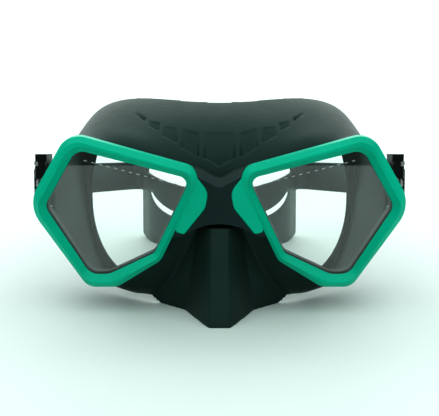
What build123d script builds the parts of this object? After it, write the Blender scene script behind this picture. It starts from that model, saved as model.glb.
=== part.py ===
from build123d import *
import math
import os

os.makedirs("parts", exist_ok=True)

# ---------------------------------------------------------------- driving dimensions, mm
# X runs across the mask, Y backwards from the bezels, Z up from the surface it stands on.
# Depths are measured backwards from the front plane of the bezels.
FRONT_Y = -59.3                  # where the bezels' front plane lies in the part's frame

BEZEL_DEPTH = 6.0                # front plane to the back of a bezel
GLASS_FRONT = 3.2                # depth of the glass's front face
GLASS_THICKNESS = 3.2
GLASS_REBATE = 1.6               # how far the glass reaches under the bezel
OUTER_SLOPE = 50                 # the bezel's facets, in degrees from the viewing direction
INNER_SLOPE = 42
WING_FRONT = 1.7                 # depth of the wing's front face

FRAME_FRONT, FRAME_BACK = 6.0, 9.5
BRIDGE_FRONT = 2.2
FRAME_STEP_IN = 0.6              # the frame ring stands this far inside the bezel's edge
ARM_IN, ARM_OUT = 78.4, 80.6     # the frame's side arms lie between these, across
ARM_HEIGHT = 13.0

SKIRT_WALL = 2.0
SKIRT_PLATE_BACK = 11.5
SEAL_THICKNESS = 1.6
HEAD_RADIUS = 88.0               # the face surface that the seal follows
HEAD_LEAN = 0.41                 # how much it leans back per unit of height
HEAD_FRONT = 9.0                 # its depth at the upper lip

PIVOT_DEPTH, PIVOT_HEIGHT = 28.0, 55.0
PIVOT_RADIUS = 2.5
STRAP_DROOP = 10.5               # the strap hangs back and down by this angle
STRAP_THICKNESS = 1.8
STRAP_WIDTH = 16.6
RUNNING_GAP = 0.05               # radial clearance of a pin in its bore
BODY_GAP = 0.3                   # clearance between bodies that pass each other

# A lens opening and a bezel's outer edge: corners and corner radii, right side, seen from the front.
OPENING = [(63, 76), (78, 50.4), (59, 18.4), (50.5, 18.4), (29.4, 28.6), (12.9, 62.8)]
OPENING_RADII = [6, 5, 7, 8, 5, 4]
RIM = [(66, 83.8), (85.5, 51.2), (60.2, 12.6), (46.5, 12.6), (26.5, 25.3), (6.8, 67)]
RIM_RADII = [10, 15, 7, 9, 7, 7]
WING = [(13, 67.5), (4.9, 57.2), (6.3, 49.6), (15.9, 37.4), (19.2, 38.4), (22, 44), (22, 55)]
WING_RADII = [3, 7, 7, 1.6, 1, 1, 1]

# Half outlines of the skirt at four depths, from the bottom centre round to the top centre.
SKIRT_SECTIONS = {
    9.5: [(0, 40), (12, 37), (24, 25.5), (38, 17), (52, 13.4), (64, 18.5), (72.6, 34),
          (77.7, 51), (74, 65), (63, 79.2), (44, 75.8), (20, 68.6), (0, 61.5)],
    20: [(0, 13), (14, 7), (28, 1.4), (41, 2.8), (53, 7.6), (64.5, 17.5), (72.4, 34),
         (75.9, 52), (73, 67), (62, 79.6), (43, 82.2), (20, 80.4), (0, 78.4)],
    46: [(0, 6), (15, 4.5), (29, 3), (43, 5), (56, 11), (66, 24), (71.3, 40),
         (73.4, 55), (71.6, 70), (62, 83.2), (42, 90.4), (20, 91.4), (0, 91.2)],
    78: [(0, 6), (15, 5), (29, 5), (43, 8), (55, 14), (65, 27), (70.6, 42),
         (72.8, 57), (71.2, 71), (61.5, 83.6), (42, 89.6), (20, 90.6), (0, 90.4)],
}
FACE_OPENING = [(0, 9), (14, 8), (30, 8.5), (44, 10.5), (56, 18), (63, 30), (65, 43),
                (64, 56), (60, 68), (50, 77), (36, 81), (18, 81), (0, 79)]
# Half outlines of the nose pocket seen from above (across, depth), from the front to the back.
NOSE_BOTTOM = [(4.6, -16.4), (7.4, -12), (16.2, 4.9), (28.2, 13.6), (41, 21), (43, 40)]
NOSE_TOP = [(3.6, 3), (5, 4.2), (9.5, 9), (15, 13.5), (27, 14.5), (29, 40)]
NOSE_HEIGHT = 40.2

# Front view of the frame's bridge, right half: its V-shaped top, at the back and at the front face,
# and its arch over the nose.
BRIDGE_TOP = [(24, 71), (14, 68.4), (6.5, 65.9), (2.2, 63.3), (0, 62.7)]
BRIDGE_LIP = [(22, 68.5), (13, 65.8), (4.5, 61.1), (1.7, 59.6), (0, 59.2)]
BRIDGE_ARCH = [(22, 36.2), (17.5, 36.6), (10.3, 40.3), (5.1, 41.8), (0, 42.3)]


def at_depth(depth):
    """The upright plane at a depth behind the bezels' front: across is x, up is y."""
    return Plane.XZ.offset(-(FRONT_Y + depth))


def both_sides(half):
    """A half outline and its mirror image, as one closed ring of points."""
    return half + [(-x, z) for x, z in reversed(half) if x > 0]


def inset(points, distance):
    """Move each point of a counter-clockwise ring inwards, square to its neighbours."""
    moved = []
    for i, (x, z) in enumerate(points):
        before, after = points[i - 1], points[(i + 1) % len(points)]
        run, rise = after[0] - before[0], after[1] - before[1]
        length = math.hypot(run, rise)
        moved.append((x - distance * rise / length, z + distance * run / length))
    return moved


def rounded(corners, radii, grow=0.0):
    """A face with rounded corners, grown outwards all round."""
    with BuildLine() as outline:
        FilletPolyline(*corners, radius=radii, close=True)
    make_face(outline.edges())
    if grow:
        offset(amount=grow, mode=Mode.REPLACE)


def skirt_loft(distance, start, mode=Mode.ADD):
    """The skirt's main body, its walls moved inwards by a distance and its front at start."""
    sections = []
    for depth, half in SKIRT_SECTIONS.items():
        with BuildSketch(at_depth(max(depth, start))) as section:
            with BuildLine():
                Spline(*inset(both_sides(half), distance), periodic=True)
            make_face()
        sections.append(section.sketch)
    loft(sections, mode=mode)


def nose_loft(distance, bottom, top):
    """The nose pocket between two heights, its walls moved inwards by a distance."""
    sections = []
    for height in (bottom, top):
        share = height / NOSE_HEIGHT
        ring = [(low[0] + share * (high[0] - low[0]), low[1] + share * (high[1] - low[1]))
                for low, high in zip(NOSE_BOTTOM, NOSE_TOP)]
        ring = ring + [(-x, depth) for x, depth in reversed(ring)]
        with BuildSketch(Plane.XY.offset(height)) as section:
            with BuildLine():
                Polyline(*[(x, FRONT_Y + y) for x, y in inset(ring, distance)], close=True)
            make_face()
        sections.append(section.sketch)
    loft(sections, ruled=True)


def head(radius, mode):
    """The leaning cylinder that stands for the wearer's face."""
    lean = math.atan(HEAD_LEAN)
    axis_depth = HEAD_FRONT + HEAD_RADIUS / math.cos(lean)
    face_plane = Plane(origin=(0, FRONT_Y + axis_depth, 0), x_dir=(1, 0, 0), z_dir=(0, HEAD_LEAN, 1))
    with BuildSketch(face_plane) as section:
        Circle(radius)
    extrude(section.sketch, amount=160, both=True, mode=mode)


def save(part, name):
    part.label = name
    export_step(part, f"parts/{name}.step")


# ---------------------------------------------------------------- skirt
# The face opening, only as deep as the seal.
with BuildPart() as face_opening:
    with BuildSketch(at_depth(0)):
        with BuildLine():
            Spline(*both_sides(FACE_OPENING), periodic=True)
        make_face()
    extrude(amount=-100)
    head(HEAD_RADIUS + SEAL_THICKNESS + 0.1, Mode.INTERSECT)

# Everything hollow inside the skirt.
with BuildPart() as cavity:
    skirt_loft(SKIRT_WALL, SKIRT_PLATE_BACK)
    nose_loft(SKIRT_WALL, SKIRT_WALL, NOSE_HEIGHT - SKIRT_WALL)
    head(HEAD_RADIUS + SEAL_THICKNESS, Mode.SUBTRACT)
    add(face_opening.part)

with BuildPart() as skirt:
    skirt_loft(0, FRAME_BACK)
    nose_loft(0, 0, NOSE_HEIGHT)
    add(cavity.part, mode=Mode.SUBTRACT)
    head(HEAD_RADIUS, Mode.SUBTRACT)
    split(bisect_by=Plane.XY)
    # The neck round each lens, and the way through it.
    for side in (1, -1):
        corners = [(side * x, z) for x, z in OPENING]
        with BuildSketch(at_depth(GLASS_FRONT + GLASS_THICKNESS)):
            rounded(corners, OPENING_RADII, grow=2.2)
        extrude(amount=-(SKIRT_PLATE_BACK - GLASS_FRONT - GLASS_THICKNESS - 0.7))
    for side in (1, -1):
        corners = [(side * x, z) for x, z in OPENING]
        with BuildSketch(at_depth(GLASS_FRONT)):
            rounded(corners, OPENING_RADII, grow=-0.2)
        extrude(amount=-(SKIRT_PLATE_BACK - GLASS_FRONT + 1), mode=Mode.SUBTRACT)

save(skirt.part, "skirt")

# ---------------------------------------------------------------- lens and bezel, right side
right_pieces = {}

with BuildPart() as lens:
    with BuildSketch(at_depth(GLASS_FRONT)):
        rounded(OPENING, OPENING_RADII, grow=GLASS_REBATE)
    extrude(amount=-GLASS_THICKNESS)
right_pieces["lens"] = lens.part

with BuildPart() as bezel:
    # The wing first: a flat leaf beside the rim, on the nose side.
    with BuildSketch(at_depth(WING_FRONT)):
        rounded(WING, WING_RADII)
    extrude(amount=-(BEZEL_DEPTH - WING_FRONT))
    chamfer(bezel.faces().sort_by(Axis.Y)[0].edges(), 0.5)
    # The rim: an upright wall whose front leans in to a crest.
    with BuildSketch(at_depth(2.0)):
        rounded(RIM, RIM_RADII)
    extrude(amount=-(BEZEL_DEPTH - 2.0))
    with BuildSketch(at_depth(2.0)):
        rounded(RIM, RIM_RADII)
    extrude(amount=2.0, taper=OUTER_SLOPE)
    # The opening flares from the glass to the crest, and the glass sits in a rebate behind it.
    with BuildSketch(at_depth(GLASS_FRONT)):
        rounded(OPENING, OPENING_RADII)
    extrude(amount=GLASS_FRONT, taper=-INNER_SLOPE, mode=Mode.SUBTRACT)
    with BuildSketch(at_depth(GLASS_FRONT)):
        rounded(OPENING, OPENING_RADII, grow=GLASS_REBATE + 0.1)
    extrude(amount=-BEZEL_DEPTH, mode=Mode.SUBTRACT)
right_pieces["bezel"] = bezel.part

# ---------------------------------------------------------------- frame
with BuildPart() as frame:
    # The bridge, its top edge sloping back, cut away where the bezels and their wings lie.
    for depth, top in ((BRIDGE_FRONT, BRIDGE_LIP), (BRIDGE_FRONT + 3.5, BRIDGE_TOP)):
        with BuildSketch(at_depth(depth)):
            with BuildLine():
                Polyline(*both_sides(BRIDGE_ARCH[::-1] + top), close=True)
            make_face()
    loft(ruled=True)
    extrude(frame.faces().sort_by(Axis.Y)[-1], amount=FRAME_BACK - BRIDGE_FRONT - 3.5)
    for side in (1, -1):
        for corners, radii in ((RIM, RIM_RADII), (WING, WING_RADII)):
            with BuildSketch(at_depth(FRAME_FRONT)):
                rounded([(side * x, z) for x, z in corners], radii, grow=0.15)
            extrude(amount=FRAME_FRONT, mode=Mode.SUBTRACT)
    # A ring behind each bezel, with the side arm that carries the buckle.
    for side in (1, -1):
        with BuildSketch(at_depth(FRAME_FRONT)):
            rounded([(side * x, z) for x, z in RIM], RIM_RADII, grow=-FRAME_STEP_IN)
        extrude(amount=-(FRAME_BACK - FRAME_FRONT))
        arm_plane = Plane(origin=(side * ARM_IN, 0, 0), x_dir=(0, 1, 0), z_dir=(1, 0, 0))
        with BuildSketch(arm_plane):
            with Locations((FRONT_Y + PIVOT_DEPTH, PIVOT_HEIGHT)):
                Circle(ARM_HEIGHT / 2)
            arm_middle = FRONT_Y + (FRAME_FRONT + PIVOT_DEPTH) / 2
            with Locations((arm_middle, PIVOT_HEIGHT)):
                Rectangle(PIVOT_DEPTH - FRAME_FRONT, ARM_HEIGHT)
            with Locations((FRONT_Y + PIVOT_DEPTH, PIVOT_HEIGHT)):
                Circle(PIVOT_RADIUS, mode=Mode.SUBTRACT)
        extrude(amount=side * (ARM_OUT - ARM_IN))
    for side in (1, -1):
        with BuildSketch(at_depth(0)):
            rounded([(side * x, z) for x, z in OPENING], OPENING_RADII, grow=2.4)
        extrude(amount=-20, mode=Mode.SUBTRACT)
save(frame.part, "frame")

# ---------------------------------------------------------------- buckle, right side
# The buckle and the strap share a plane that leans down to the back from the pivot: across, along, up.
droop = math.radians(STRAP_DROOP)
STRAP_ORIGIN = (0, FRONT_Y + PIVOT_DEPTH, PIVOT_HEIGHT)
strap_plane = Plane(origin=STRAP_ORIGIN, x_dir=(1, 0, 0), z_dir=(0, math.sin(droop), math.cos(droop)))

HALF_WIDTH = STRAP_WIDTH / 2
WALL_IN = HALF_WIDTH + 0.4                 # the buckle's upper and lower walls
WALL_OUT = WALL_IN + 1.8
PLATE_IN = ARM_OUT + BODY_GAP              # its pivot plate, beside the frame's arm
PLATE_OUT = PLATE_IN + 1.5
ROLLER = (PLATE_IN + 2.9, 12.0)            # roller axis: across, along
ROLLER_RADIUS, ROLLER_BORE = 1.9, 1.1
LOOP_RADIUS = ROLLER_RADIUS + BODY_GAP + STRAP_THICKNESS / 2
LEVER_IN = ROLLER[0] + LOOP_RADIUS + STRAP_THICKNESS / 2 + BODY_GAP
LEVER_THICKNESS = 1.3
LEVER_PIN = (PLATE_OUT + 2.8, -2.5)        # its axis: across, along
LEVER_PIN_RADIUS, LEVER_HUB = 0.8, 1.8
LEVER_BEND, LEVER_END = 8.0, 21.0          # along: where it turns straight back, and its end
LEVER_FLARE = 1.5                          # how far it leans out between them
LEVER_GRIP = 0.7                           # how far the ridge at its end stands out
BUCKLE_FRONT, BUCKLE_BACK = -8.0, 18.0
SHOULDER = 3.4                             # height of the block on top of the buckle


def slab(across, along, up, mode=Mode.ADD):
    """A box in the strap's plane, from its three pairs of limits."""
    with BuildSketch(strap_plane.offset(up[0])) as section:
        with Locations(((across[0] + across[1]) / 2, (along[0] + along[1]) / 2)):
            Rectangle(across[1] - across[0], along[1] - along[0])
    extrude(section.sketch, amount=up[1] - up[0], mode=mode)


def post(centre, radius, up, mode=Mode.ADD):
    """A round post that stands square to the strap's plane."""
    with BuildSketch(strap_plane.offset(up[0])) as section:
        with Locations(centre):
            Circle(radius)
    extrude(section.sketch, amount=up[1] - up[0], mode=mode)


with BuildPart() as buckle:
    slab((PLATE_IN, PLATE_OUT), (BUCKLE_FRONT, 6.4), (-WALL_OUT, WALL_OUT))
    for low in (-WALL_OUT, WALL_IN):
        with BuildSketch(strap_plane.offset(low)):
            with BuildLine():
                Polyline((PLATE_IN, BUCKLE_FRONT), (LEVER_PIN[0] - 1, BUCKLE_FRONT),
                         (LEVER_PIN[0] + LEVER_HUB, LEVER_PIN[1] - 1), (LEVER_IN + 0.8, LEVER_BEND),
                         (LEVER_IN + 1.8, BUCKLE_BACK), (PLATE_IN, BUCKLE_BACK), close=True)
            make_face()
        extrude(amount=WALL_OUT - WALL_IN)
    slab((PLATE_IN, LEVER_PIN[0] - 1), (BUCKLE_FRONT, BUCKLE_FRONT + 1.6), (-WALL_OUT, WALL_OUT))
    slab((PLATE_IN, LEVER_PIN[0] + 1), (-5, LEVER_BEND), (WALL_OUT, WALL_OUT + SHOULDER))
    post(ROLLER, ROLLER_BORE - RUNNING_GAP, (-WALL_OUT, WALL_OUT), Mode.SUBTRACT)
    post(LEVER_PIN, LEVER_PIN_RADIUS, (-WALL_OUT, WALL_OUT), Mode.SUBTRACT)
    with BuildSketch(Plane(origin=(PLATE_IN - 1, 0, 0), x_dir=(0, 1, 0), z_dir=(1, 0, 0))):
        with Locations((FRONT_Y + PIVOT_DEPTH, PIVOT_HEIGHT)):
            Circle(PIVOT_RADIUS + RUNNING_GAP)
    extrude(amount=4, mode=Mode.SUBTRACT)
right_pieces["buckle"] = buckle.part

with BuildPart() as pivot_pin:
    head_in = PLATE_OUT + 0.1
    for start, end, radius in ((ARM_IN, head_in, PIVOT_RADIUS), (head_in, head_in + 0.6, 4.0)):
        with BuildSketch(Plane(origin=(start, 0, 0), x_dir=(0, 1, 0), z_dir=(1, 0, 0))):
            with Locations((FRONT_Y + PIVOT_DEPTH, PIVOT_HEIGHT)):
                Circle(radius)
        extrude(amount=end - start)
right_pieces["pivot_pin"] = pivot_pin.part

with BuildPart() as roller_pin:
    post(ROLLER, ROLLER_BORE - RUNNING_GAP, (-WALL_OUT, WALL_OUT))
right_pieces["roller_pin"] = roller_pin.part

with BuildPart() as roller:
    post(ROLLER, ROLLER_RADIUS, (-HALF_WIDTH, HALF_WIDTH))
    post(ROLLER, ROLLER_BORE, (-HALF_WIDTH, HALF_WIDTH), Mode.SUBTRACT)
right_pieces["roller"] = roller.part

with BuildPart() as lever_pin:
    post(LEVER_PIN, LEVER_PIN_RADIUS, (-WALL_OUT, WALL_OUT))
right_pieces["lever_pin"] = lever_pin.part

SPRING_HALF = 2.4                          # half the gap between the hubs, where the spring sits
with BuildPart() as lever:
    # Two hubs on the pin, with the spring between them, and a leaf back over the strap's loop.
    hub_out = LEVER_PIN[0] + LEVER_HUB
    lever_out = LEVER_IN + LEVER_THICKNESS
    tail_out = lever_out + LEVER_FLARE
    for low, high in ((-HALF_WIDTH, -SPRING_HALF), (SPRING_HALF, HALF_WIDTH)):
        post(LEVER_PIN, LEVER_HUB, (low, high))
    with BuildSketch(strap_plane.offset(-HALF_WIDTH)):
        with BuildLine():
            Polyline((hub_out - LEVER_THICKNESS, LEVER_PIN[1]), (hub_out, LEVER_PIN[1]), (lever_out, LEVER_BEND),
                     (tail_out, LEVER_END - 3), (tail_out + LEVER_GRIP, LEVER_END - 2.4),
                     (tail_out + LEVER_GRIP, LEVER_END), (LEVER_IN + LEVER_FLARE, LEVER_END),
                     (LEVER_IN, LEVER_BEND), close=True)
        make_face()
    extrude(amount=STRAP_WIDTH)
    post(LEVER_PIN, LEVER_HUB + 0.1, (-SPRING_HALF, SPRING_HALF), Mode.SUBTRACT)
    post(LEVER_PIN, LEVER_PIN_RADIUS + RUNNING_GAP, (-HALF_WIDTH, HALF_WIDTH), Mode.SUBTRACT)
right_pieces["lever"] = lever.part

WIRE_RADIUS = 0.2
with BuildPart() as lever_spring:
    coil_centre = strap_plane.offset(-1.6).from_local_coords(Vector(*LEVER_PIN, 0))
    with BuildLine() as coil:
        Helix(pitch=0.8, height=3.2, radius=LEVER_PIN_RADIUS + 0.45,
              center=coil_centre, direction=strap_plane.z_dir)
    with BuildSketch(Plane(origin=coil.line @ 0, z_dir=coil.line % 0)):
        Circle(WIRE_RADIUS)
    sweep(path=coil.line)
right_pieces["lever_spring"] = lever_spring.part

# ---------------------------------------------------------------- strap
ARM_BEND = (ROLLER[0] - 1.3, 42.0)         # where the arm starts to turn inwards: across, along
ARM_END = (74.0, 66.0)
LAYER = STRAP_THICKNESS + 0.4              # from the arm's middle to the free end's
arm_run = math.dist(ARM_BEND, ARM_END)
arm_way = ((ARM_END[0] - ARM_BEND[0]) / arm_run, (ARM_END[1] - ARM_BEND[1]) / arm_run)
arm_out = (arm_way[1], -arm_way[0])        # square to the arm, outwards


def beside_arm(along, out):
    """A point beside the arm's slanting run."""
    return tuple(ARM_BEND[i] + along * arm_way[i] + out * arm_out[i] for i in (0, 1))


REAR_MIDDLE = (0, 82.0)                    # the rear is pushed forwards to here
REAR_BEND = (36, 84.0)
FOLD = (49, 112.0)                         # then folds back sharply into each arm
# The rear seen from behind: half of its top edge, then the slit's two edges, which meet at its ends.
REAR_EDGE = [(50, 0), (50, 41.5), (20, 34.4), (0, 33)]
REAR_RADII = [9, 4, 30, 40]
SLIT_LOWER = [(41, 31), (38, 23.5), (25, 16.6), (0, 13.5)]
SLIT_UPPER = [(41, 31), (35.8, 25), (23, 19), (0, 15.6)]

KEEPER_WALL, KEEPER_LENGTH = 1.2, 6.0
with BuildPart() as keeper:
    for grow, height, mode in ((KEEPER_WALL, KEEPER_WALL, Mode.ADD), (0, 0, Mode.SUBTRACT)):
        edge = STRAP_THICKNESS / 2 + BODY_GAP + grow
        half = HALF_WIDTH + BODY_GAP + height
        with BuildSketch(strap_plane.offset(-half)):
            with BuildLine():
                Polyline(beside_arm(12, -edge), beside_arm(12, LAYER + edge),
                         beside_arm(12 + KEEPER_LENGTH, LAYER + edge),
                         beside_arm(12 + KEEPER_LENGTH, -edge), close=True)
            make_face()
        extrude(amount=2 * half, mode=mode)
right_pieces["keeper"] = keeper.part


def to_fold(share):
    """A point on the run from the rear's bend to the fold."""
    return tuple(REAR_BEND[i] + share * (FOLD[i] - REAR_BEND[i]) for i in (0, 1))


with BuildPart() as right_arm:
    with BuildSketch(strap_plane.offset(-HALF_WIDTH)):
        with BuildLine():
            loop_in, loop_out = ROLLER[0] - LOOP_RADIUS, ROLLER[0] + LOOP_RADIUS
            FilletPolyline(to_fold(0.5), FOLD, ARM_END, ARM_BEND, (ARM_BEND[0], 24), (loop_in, 16),
                           (loop_in, ROLLER[1]), radius=[5, 40, 18, 8, 4])
            ThreePointArc((loop_in, ROLLER[1]), (ROLLER[0], ROLLER[1] - LOOP_RADIUS), (loop_out, ROLLER[1]))
            FilletPolyline((loop_out, ROLLER[1]), (loop_out, 16), (ARM_BEND[0] + LAYER, 24),
                           beside_arm(0, LAYER), beside_arm(25, LAYER), radius=[4, 8, 20])
        trace(line_width=STRAP_THICKNESS)
    extrude(amount=STRAP_WIDTH)

# The rear: a tall band on the surface, slit along its length.
with BuildPart() as rear:
    with BuildSketch(strap_plane.offset(-70)):
        with BuildLine():
            end = to_fold(0.75)
            FilletPolyline((-end[0], end[1]), (-REAR_BEND[0], REAR_BEND[1]), REAR_MIDDLE,
                           REAR_BEND, end, radius=[24, 60, 24])
        trace(line_width=STRAP_THICKNESS)
    extrude(amount=80)
    with BuildSketch(at_depth(60)):
        with BuildLine():
            FilletPolyline(*both_sides(REAR_EDGE), radius=REAR_RADII + REAR_RADII[-2::-1], close=True)
        make_face()
    extrude(amount=-120, mode=Mode.INTERSECT)
    with BuildSketch(at_depth(60)):
        with BuildLine():
            for edge in (SLIT_LOWER, SLIT_UPPER):
                Spline(*[(-x, z) for x, z in edge], *edge[-2::-1])
        make_face()
    extrude(amount=-120, mode=Mode.SUBTRACT)

with BuildPart() as strap:
    add(right_arm.part)
    mirror(right_arm.part, about=Plane.YZ)
    add(rear.part)
save(strap.part, "strap")

for name, piece in right_pieces.items():
    save(piece, f"{name}_right")
    with BuildPart() as left_piece:
        mirror(piece, about=Plane.YZ)
    save(left_piece.part, f"{name}_left")
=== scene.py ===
import math

import bpy
import numpy as np
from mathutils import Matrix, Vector


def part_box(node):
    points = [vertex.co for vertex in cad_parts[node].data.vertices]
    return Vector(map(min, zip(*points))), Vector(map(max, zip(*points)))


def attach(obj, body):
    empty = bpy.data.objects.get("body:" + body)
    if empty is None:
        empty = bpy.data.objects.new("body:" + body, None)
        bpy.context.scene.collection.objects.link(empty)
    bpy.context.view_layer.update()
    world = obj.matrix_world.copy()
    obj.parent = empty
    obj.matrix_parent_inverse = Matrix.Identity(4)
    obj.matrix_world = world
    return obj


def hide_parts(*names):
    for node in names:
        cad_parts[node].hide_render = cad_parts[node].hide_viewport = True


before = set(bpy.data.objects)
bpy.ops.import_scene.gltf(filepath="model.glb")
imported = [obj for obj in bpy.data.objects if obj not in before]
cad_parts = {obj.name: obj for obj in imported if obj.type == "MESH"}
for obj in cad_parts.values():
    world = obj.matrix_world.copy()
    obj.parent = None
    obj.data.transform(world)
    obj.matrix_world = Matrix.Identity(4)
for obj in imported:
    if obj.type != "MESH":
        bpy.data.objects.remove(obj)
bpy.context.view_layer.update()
MM = 0.001
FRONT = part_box("bezel_right")[0].y          # the bezels' front plane
SIDES = (("left", -1), ("right", 1))


def place(across, depth, height):
    """A point in millimetres: across, behind the bezels' front, above the floor."""
    return Vector((across * MM, FRONT + depth * MM, height * MM))


def new_object(name, data):
    obj = bpy.data.objects.new(name, data)
    bpy.context.scene.collection.objects.link(obj)
    return obj


def mesh_from(name, points, faces):
    mesh = bpy.data.meshes.new(name)
    mesh.from_pydata([tuple(p) for p in points], [], faces)
    mesh.update()
    return mesh


def apply_modifiers(obj):
    """Turn the object's modifiers into plain mesh."""
    evaluated = obj.evaluated_get(bpy.context.evaluated_depsgraph_get())
    mesh = bpy.data.meshes.new_from_object(evaluated)
    obj.modifiers.clear()
    obj.data = mesh


def shade_smooth(obj, sharp_from=None):
    """Shade the faces smoothly, across edges below an angle in degrees if one is given."""
    for polygon in obj.data.polygons:
        polygon.use_smooth = True
    if sharp_from:
        obj.data.set_sharp_from_angle(angle=math.radians(sharp_from))


# ---------------------------------------------------------------- camera
CAMERA_TILT = math.radians(15)
CAMERA_DEPTH, CAMERA_HEIGHT = -338.07, 140.99
CAMERA_LENS, CAMERA_CLIP = 64.87, 0.01

camera = new_object("camera", bpy.data.cameras.new("camera"))
camera.location = place(0, CAMERA_DEPTH, CAMERA_HEIGHT)
camera.rotation_euler = (math.pi / 2 - CAMERA_TILT, 0, 0)
camera.data.lens = CAMERA_LENS
camera.data.clip_start = CAMERA_CLIP
bpy.context.scene.camera = camera
bpy.context.scene.view_settings.view_transform = "Standard"
bpy.context.scene.view_settings.look = "High Contrast"

# ---------------------------------------------------------------- table top and wall
FLOOR_FRONT, FLOOR_BACK, FLOOR_HALF = -322, 832, 900
FLOOR_COLOUR, FLOOR_ROUGHNESS, FLOOR_SPECULAR = (0.70, 0.80, 0.775), 0.5, 0.2
WALL_DEPTH, WALL_HALF, WALL_HEIGHT = FLOOR_BACK + 5, 2600, 1500
WALL_COLOUR, WALL_ROUGHNESS, WALL_SPECULAR = (0.8, 0.8, 0.8), 0.9, 0.0
WALL_GLOW = 0.75


def plain_material(name, colour, roughness, specular):
    material = bpy.data.materials.new(name)
    material.use_nodes = True
    shader = material.node_tree.nodes["Principled BSDF"]
    shader.inputs["Base Color"].default_value = (*colour, 1)
    shader.inputs["Roughness"].default_value = roughness
    shader.inputs["Specular IOR Level"].default_value = specular
    return material


def stage_sheet(name, corners, material):
    """A flat sheet of the surroundings, which is no part of the mask."""
    sheet = new_object(name, mesh_from(name, corners, [(0, 1, 2, 3)]))
    sheet.data.materials.append(material)


def make_floor():
    material = plain_material("table_top", FLOOR_COLOUR, FLOOR_ROUGHNESS, FLOOR_SPECULAR)
    corners = [place(-FLOOR_HALF, FLOOR_FRONT, 0), place(FLOOR_HALF, FLOOR_FRONT, 0),
               place(FLOOR_HALF, FLOOR_BACK, 0), place(-FLOOR_HALF, FLOOR_BACK, 0)]
    stage_sheet("floor", corners, material)


def make_wall():
    """A white wall behind the table, glowing evenly as a brightly lit one does."""
    material = plain_material("white_wall", WALL_COLOUR, WALL_ROUGHNESS, WALL_SPECULAR)
    shader = material.node_tree.nodes["Principled BSDF"]
    shader.inputs["Emission Color"].default_value = (1.0, 1.0, 1.0, 1)
    shader.inputs["Emission Strength"].default_value = WALL_GLOW
    corners = [place(-WALL_HALF, WALL_DEPTH, -WALL_HEIGHT), place(WALL_HALF, WALL_DEPTH, -WALL_HEIGHT),
               place(WALL_HALF, WALL_DEPTH, WALL_HEIGHT), place(-WALL_HALF, WALL_DEPTH, WALL_HEIGHT)]
    stage_sheet("backdrop", corners, material)


make_floor()
make_wall()

# ---------------------------------------------------------------- light
WORLD_COLOUR, WORLD_STRENGTH = (0.78, 1.0, 0.94), 0.18
OVERHEAD_AT, OVERHEAD_AIM = place(0, -220, 1000), place(0, -120, 0)
OVERHEAD_SIZE, OVERHEAD_POWER = (2.6, 2.3), 17.0


def light_room():
    """Faint sea-coloured light from all around."""
    world = bpy.data.worlds.new("studio")
    bpy.context.scene.world = world
    world.use_nodes = True
    background = world.node_tree.nodes["Background"]
    background.inputs["Color"].default_value = (*WORLD_COLOUR, 1)
    background.inputs["Strength"].default_value = WORLD_STRENGTH


def light_overhead():
    """One wide soft box above the mask."""
    light = bpy.data.lights.new("overhead", "AREA")
    light.shape = "RECTANGLE"
    light.size, light.size_y = OVERHEAD_SIZE
    light.energy = OVERHEAD_POWER
    obj = new_object("overhead", light)
    obj.location = OVERHEAD_AT
    obj.rotation_euler = (OVERHEAD_AIM - OVERHEAD_AT).to_track_quat("-Z", "Y").to_euler()


light_room()
light_overhead()

# ---------------------------------------------------------------- materials
DRIFT_SCALE, SMEAR_SCALE = 45.0, 180.0      # slow colour drift, and patches of gloss
DRIFT_FROM, DRIFT_TO = 0.3, 0.7             # the part of the drift that the colours spread over
GLOSS_SPREAD = 0.06
GRAIN_DEPTH = 0.0002


def noise(tree, where, scale, detail):
    """A noise texture fixed to the object, as a 0 to 1 output."""
    texture = tree.nodes.new("ShaderNodeTexNoise")
    texture.inputs["Scale"].default_value = scale
    texture.inputs["Detail"].default_value = detail
    tree.links.new(where.outputs["Object"], texture.inputs["Vector"])
    return texture.outputs["Fac"]


def moulded(name, dark, light, roughness, grain=2600.0, bump=0.05, specular=0.5, tint=(1, 1, 1)):
    """Moulded plastic or rubber: slow colour drift, fine surface grain and uneven gloss."""
    material = bpy.data.materials.new(name)
    material.use_nodes = True
    tree = material.node_tree
    nodes, links = tree.nodes, tree.links
    shader = nodes["Principled BSDF"]
    where = nodes.new("ShaderNodeTexCoord")

    colours = nodes.new("ShaderNodeValToRGB")
    first, last = colours.color_ramp.elements
    first.color, first.position = (*dark, 1), DRIFT_FROM
    last.color, last.position = (*light, 1), DRIFT_TO
    links.new(noise(tree, where, DRIFT_SCALE, 5.0), colours.inputs["Fac"])
    links.new(colours.outputs["Color"], shader.inputs["Base Color"])

    gloss = nodes.new("ShaderNodeMapRange")
    gloss.inputs["To Min"].default_value = roughness - GLOSS_SPREAD
    gloss.inputs["To Max"].default_value = roughness + GLOSS_SPREAD
    links.new(noise(tree, where, SMEAR_SCALE, 3.0), gloss.inputs["Value"])
    links.new(gloss.outputs["Result"], shader.inputs["Roughness"])

    relief = nodes.new("ShaderNodeBump")
    relief.inputs["Strength"].default_value = bump
    relief.inputs["Distance"].default_value = GRAIN_DEPTH
    links.new(noise(tree, where, grain, 2.0), relief.inputs["Height"])
    links.new(relief.outputs["Normal"], shader.inputs["Normal"])

    shader.inputs["Specular IOR Level"].default_value = specular
    shader.inputs["Specular Tint"].default_value = (*tint, 1)
    return material


def glass_material():
    material = bpy.data.materials.new("tempered_glass")
    material.use_nodes = True
    shader = material.node_tree.nodes["Principled BSDF"]
    shader.inputs["Base Color"].default_value = (0.93, 0.985, 0.96, 1)
    shader.inputs["Roughness"].default_value = 0.0
    shader.inputs["IOR"].default_value = 1.7
    shader.inputs["Transmission Weight"].default_value = 1.0
    return material


def steel_material():
    material = moulded("steel", (0.50, 0.51, 0.52), (0.64, 0.65, 0.66), 0.32, grain=5200.0, bump=0.08)
    material.node_tree.nodes["Principled BSDF"].inputs["Metallic"].default_value = 1.0
    return material


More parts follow.
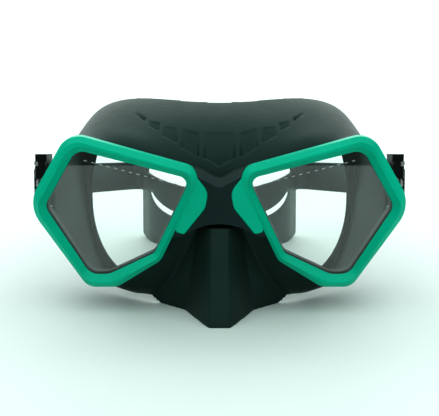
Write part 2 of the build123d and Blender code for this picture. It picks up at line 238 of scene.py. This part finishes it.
SEA_TINT, BEZEL_TINT = (0.62, 1.0, 0.92), (0.5, 1.0, 0.9)
SILICONE = moulded("skirt_silicone", (0.012, 0.027, 0.023), (0.018, 0.036, 0.031), 0.50, bump=0.10,
                   specular=0.40, tint=SEA_TINT)
STRAP_SILICONE = moulded("strap_silicone", (0.010, 0.018, 0.016), (0.015, 0.025, 0.023), 0.38,
                         tint=SEA_TINT)
FRAME_PLASTIC = moulded("frame_plastic", (0.016, 0.028, 0.028), (0.022, 0.036, 0.036), 0.42, bump=0.16,
                        specular=0.35, tint=SEA_TINT)
BUCKLE_PLASTIC = moulded("buckle_plastic", (0.005, 0.009, 0.009), (0.010, 0.015, 0.015), 0.24, bump=0.12)
GREEN = moulded("bezel_plastic", (0.0, 0.50, 0.325), (0.0, 0.55, 0.365), 0.32, grain=3600.0, bump=0.07,
                specular=0.30, tint=BEZEL_TINT)
GLASS = glass_material()
STEEL = steel_material()
PRINT = moulded("glass_print", (0.50, 0.55, 0.54), (0.60, 0.65, 0.64), 0.6)

NODE_MATERIALS = {"frame": FRAME_PLASTIC, "bezel": GREEN, "lens": GLASS, "pivot_pin": STEEL,
                  "roller_pin": STEEL, "lever_pin": STEEL, "lever_spring": STEEL, "roller": FRAME_PLASTIC,
                  "buckle": BUCKLE_PLASTIC, "lever": BUCKLE_PLASTIC, "keeper": STRAP_SILICONE}
for name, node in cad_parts.items():
    family = name.replace("_left", "").replace("_right", "")
    if family in NODE_MATERIALS:
        node.data.materials.clear()
        node.data.materials.append(NODE_MATERIALS[family])

# ---------------------------------------------------------------- shapes from the CAD's soft solids
SMOOTH_FACTOR = 0.5


def remeshed(name, node, voxel, passes):
    """A finely meshed copy of a soft CAD solid with its hard edges rounded off."""
    obj = new_object(name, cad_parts[node].data.copy())
    remesh = obj.modifiers.new("remesh", "REMESH")
    remesh.mode = "VOXEL"
    remesh.voxel_size = voxel * MM
    smooth = obj.modifiers.new("smooth", "SMOOTH")
    smooth.factor, smooth.iterations = SMOOTH_FACTOR, passes
    apply_modifiers(obj)
    return obj


def points_of(mesh):
    """The mesh's points in millimetres (across, depth, height) and its normals."""
    points = np.empty(len(mesh.vertices) * 3)
    mesh.vertices.foreach_get("co", points)
    points = points.reshape(-1, 3) / MM
    points[:, 1] -= FRONT / MM
    normals = np.empty(len(mesh.vertices) * 3)
    mesh.vertices.foreach_get("normal", normals)
    return points, normals.reshape(-1, 3)


def set_points(mesh, points):
    moved = points.copy()
    moved[:, 1] += FRONT / MM
    mesh.vertices.foreach_set("co", (moved * MM).ravel())
    mesh.update()


def dress(obj, material, body, node):
    """Give a piece its material and slot, the body it rides on, and the node it replaces, if any."""
    obj.data.materials.clear()
    obj.data.materials.append(material)
    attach(obj, body)
    if node:
        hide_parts(node)


def step(value, width):
    """0 outside, 1 inside, with a smooth change over a width."""
    t = np.clip(value / width + 0.5, 0, 1)
    return t * t * (3 - 2 * t)


def inside_depth(points, corners):
    """How far each point lies inside a convex outline, seen from the front."""
    middle = np.mean(corners, axis=0)
    nearest = np.full(len(points), np.inf)
    for start, end in zip(corners, corners[1:] + corners[:1]):
        along = np.subtract(end, start) / math.dist(start, end)
        normal = np.array((-along[1], along[0]))
        if (middle - start) @ normal < 0:
            normal = -normal
        nearest = np.minimum(nearest, (points[:, [0, 2]] - start) @ normal)
    return nearest


# ---------------------------------------------------------------- skirt
SKIRT_VOXEL, SKIRT_PASSES = 0.55, 5

# Sunk panels on the forehead, seen from the front: a middle shield, and the right half's row of panels.
SHIELD = [(-6.9, 80.2), (-6.8, 70.4), (0, 66.9), (6.8, 70.4), (6.9, 80.2)]
PANELS = [[(9.7, 80.2), (17.2, 82.0), (17.1, 75.0), (9.6, 70.9)],
          [(19.7, 82.4), (25.5, 83.0), (25.7, 79.6), (19.5, 76.8)],
          [(27.5, 84.2), (32.6, 85.2), (32.1, 83.2), (27.6, 81.6)],
          [(34.4, 86.0), (39.2, 88.1), (39.2, 87.2), (34.4, 85.1)]]
PANEL_SINK, PANEL_SINK_SHARE = 1.5, 0.1     # at a panel's lower edge, and the share of it at the top edge
PANEL_EDGE = 0.6
PANEL_FACING, PANEL_BACK = 0.2, 45          # the outer surface's normals and depths

# The forehead swells a little over each eye.
SWELL_AT, SWELL_SPREAD, SWELL_HEIGHT = (41, 77.5), (13, 4.5), 1.6
SWELL_SLOPE, SWELL_FRONT = 0.18, 9


def panel_sink(points, normals, corners):
    """How deep one panel sinks each point: a panel gets deeper towards its lower edge."""
    top, low = max(z for _, z in corners), min(z for _, z in corners)
    outside = (normals[:, 1] < PANEL_FACING) & (normals[:, 2] > -PANEL_FACING) & (points[:, 1] < PANEL_BACK)
    share = step(inside_depth(points, corners), PANEL_EDGE)
    slope = np.clip((top - points[:, 2]) / (top - low), 0, 1)
    return outside * share * PANEL_SINK * (PANEL_SINK_SHARE + (1 - PANEL_SINK_SHARE) * slope)


def swell_height(points, normals, side):
    """How far each point rises over one eye."""
    across = side * points[:, 0] - SWELL_AT[0]
    off_height = points[:, 2] - SWELL_AT[1] - SWELL_SLOPE * across
    swell = np.exp(-(across / SWELL_SPREAD[0]) ** 2 - (off_height / SWELL_SPREAD[1]) ** 2)
    return SWELL_HEIGHT * swell * (normals[:, 1] < 0) * (points[:, 1] > SWELL_FRONT)


def make_skirt():
    obj = remeshed("skirt_shell", "skirt", SKIRT_VOXEL, SKIRT_PASSES)
    points, normals = points_of(obj.data)
    sink = panel_sink(points, normals, SHIELD)
    for _, side in SIDES:
        for panel in PANELS:
            corners = [(side * x, z) for x, z in panel]
            sink = np.maximum(sink, panel_sink(points, normals, corners))
    rise = sum(swell_height(points, normals, side) for _, side in SIDES) - sink
    set_points(obj.data, points + normals * rise[:, None])
    shade_smooth(obj)
    dress(obj, SILICONE, "mask", "skirt")


make_skirt()

# ---------------------------------------------------------------- strap
STRAP_VOXEL, STRAP_PASSES = 0.5, 4
STRAP_DROOP = math.radians(10.5)            # the arms run down towards the back
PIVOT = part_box("pivot_pin_right")
PIVOT_Y = (PIVOT[0].y + PIVOT[1].y) / 2
PIVOT_Z = (PIVOT[0].z + PIVOT[1].z) / 2
TOOTH_PITCH, TOOTH_HEIGHT, TOOTH_HALF_WIDTH = 2.6, 0.45, 5.6
TOOTH_STEEPNESS = 1.6                       # cuts the wave's crests off flat
TOOTH_END = 0.8                             # the run-out at a tooth's ends
TEETH_FROM, TEETH_TO, TEETH_FADE = 24.0, 62.0, 1.0      # along the strap from its pivot
ARM_FACING, ARM_INSIDE = 0.6, 60            # the arms' outer faces: their normals and place across


def strap_place(points):
    """Along and up in the strap's own plane, in millimetres from its pivot."""
    depth = points[:, 1] - (PIVOT_Y - FRONT) / MM
    height = points[:, 2] - PIVOT_Z / MM
    along = depth * math.cos(STRAP_DROOP) - height * math.sin(STRAP_DROOP)
    up = depth * math.sin(STRAP_DROOP) + height * math.cos(STRAP_DROOP)
    return along, up


def strap_teeth(points, normals):
    """How far each point rises as a tooth, on the arms' outer faces, which the buckles grip."""
    along, up = strap_place(points)
    outward = normals[:, 0] * np.sign(points[:, 0]) > ARM_FACING
    on_arm = np.abs(points[:, 0]) > ARM_INSIDE
    reach = step(np.minimum(along - TEETH_FROM, TEETH_TO - along), TEETH_FADE)
    reach *= step(TOOTH_HALF_WIDTH - np.abs(up), TOOTH_END)
    tooth = np.clip(np.sin(2 * math.pi * along / TOOTH_PITCH) * TOOTH_STEEPNESS, 0, 1)
    return TOOTH_HEIGHT * tooth * reach * outward * on_arm


def make_strap():
    obj = remeshed("head_strap", "strap", STRAP_VOXEL, STRAP_PASSES)
    points, normals = points_of(obj.data)
    rise = strap_teeth(points, normals)
    set_points(obj.data, points + normals * rise[:, None])
    shade_smooth(obj)
    dress(obj, STRAP_SILICONE, "strap", "strap")


make_strap()

# ---------------------------------------------------------------- grip ribs on the levers
RIBS, RIB_PITCH, RIB_RADIUS, RIB_HALF = 5, 1.9, 0.42, 6.2
RIBS_FROM = 7.6                             # along the strap, of the first rib
RIB_SEGMENTS, RIB_SHARP = 12, 50
RIB_TIP = 0.3                               # a rib's end, as a share of its radius
RIB_RINGS = ((-RIB_HALF - RIB_RADIUS, RIB_TIP), (-RIB_HALF, 1), (RIB_HALF, 1),
             (RIB_HALF + RIB_RADIUS, RIB_TIP))
LEVER_BEND, LEVER_END = 8.0, 18.0           # the lever's outer face leans out between these
LEVER_GRIP, LEVER_FLARE = 0.7, 1.5          # the lever's end ridge, and how far it leans out


def strap_point(across, along, up):
    """A point in the strap's own plane, from the pivot line."""
    depth = along * math.cos(STRAP_DROOP) + up * math.sin(STRAP_DROOP)
    height = -along * math.sin(STRAP_DROOP) + up * math.cos(STRAP_DROOP)
    return Vector((across * MM, PIVOT_Y + depth * MM, PIVOT_Z + height * MM))


def rib_mesh(side, across, along, first):
    """One rib's points, and its faces counted from a first point."""
    points, faces = [], []
    for up, scale in RIB_RINGS:
        for k in range(RIB_SEGMENTS):
            turn = 2 * math.pi * k / RIB_SEGMENTS
            points.append(strap_point(side * (across + RIB_RADIUS * scale * math.cos(turn)),
                                      along + RIB_RADIUS * scale * math.sin(turn), up))
    last = first + (len(RIB_RINGS) - 1) * RIB_SEGMENTS
    for ring in range(first, last, RIB_SEGMENTS):
        for k in range(RIB_SEGMENTS):
            following = (k + 1) % RIB_SEGMENTS
            faces.append((ring + k, ring + following, ring + following + RIB_SEGMENTS,
                          ring + k + RIB_SEGMENTS))
    faces.append(tuple(range(first + RIB_SEGMENTS - 1, first - 1, -1)))
    faces.append(tuple(range(last, last + RIB_SEGMENTS)))
    return points, faces


def make_ribs(side_name, side):
    """Rounded ribs across the lever, where a fingertip lifts it."""
    low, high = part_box(f"lever_{side_name}")
    widest = max(abs(low.x), abs(high.x)) / MM - LEVER_GRIP
    points, faces = [], []
    for i in range(RIBS):
        along = RIBS_FROM + i * RIB_PITCH
        lean = np.clip((along - LEVER_BEND) / (LEVER_END - LEVER_BEND), 0, 1)
        across = widest - LEVER_FLARE * (1 - lean)
        rib_points, rib_faces = rib_mesh(side, across, along, len(points))
        points += rib_points
        faces += rib_faces
    obj = new_object(f"lever_ribs_{side_name}", mesh_from(f"lever_ribs_{side_name}", points, faces))
    shade_smooth(obj, RIB_SHARP)
    dress(obj, BUCKLE_PLASTIC, f"lever_{side_name}", None)


for side_name, side in SIDES:
    make_ribs(side_name, side)

# ---------------------------------------------------------------- marks on the glass
MARKS = 13
MARK_LENGTH, MARK_HEIGHT = 1.5, 0.32
MARK_SINK, MARK_LIFT = 0.01, 0.03           # into the glass, and proud of it
MARKS_START, MARKS_END = (19.5, 60.6), (59.0, 71.0)     # across and height, below the bezel's top edge
MARK_CORNERS = ((-1, -1), (1, -1), (1, 1), (-1, 1))
MARK_FACES = ((3, 2, 1, 0), (4, 5, 6, 7), (0, 1, 5, 4), (1, 2, 6, 5), (2, 3, 7, 6), (3, 0, 4, 7))


def make_marks(side_name, side):
    """A row of plain printed dashes along the top of a lens."""
    glass_front = (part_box(f"lens_{side_name}")[0].y - FRONT) / MM
    low, high = np.array(MARKS_START), np.array(MARKS_END)
    along = (high - low) / np.linalg.norm(high - low)
    across = np.array((-along[1], along[0]))
    points, faces = [], []
    for i in range(MARKS):
        middle = low + (high - low) * i / (MARKS - 1)
        faces += [[len(points) + k for k in face] for face in MARK_FACES]
        for lift in (-MARK_SINK, MARK_LIFT):
            for a, b in MARK_CORNERS:
                corner = middle + a * along * MARK_LENGTH / 2 + b * across * MARK_HEIGHT / 2
                points.append(place(side * corner[0], glass_front - lift, corner[1]))
    obj = new_object(f"glass_marks_{side_name}", mesh_from(f"glass_marks_{side_name}", points, faces))
    dress(obj, PRINT, "mask", None)


for side_name, side in SIDES:
    make_marks(side_name, side)
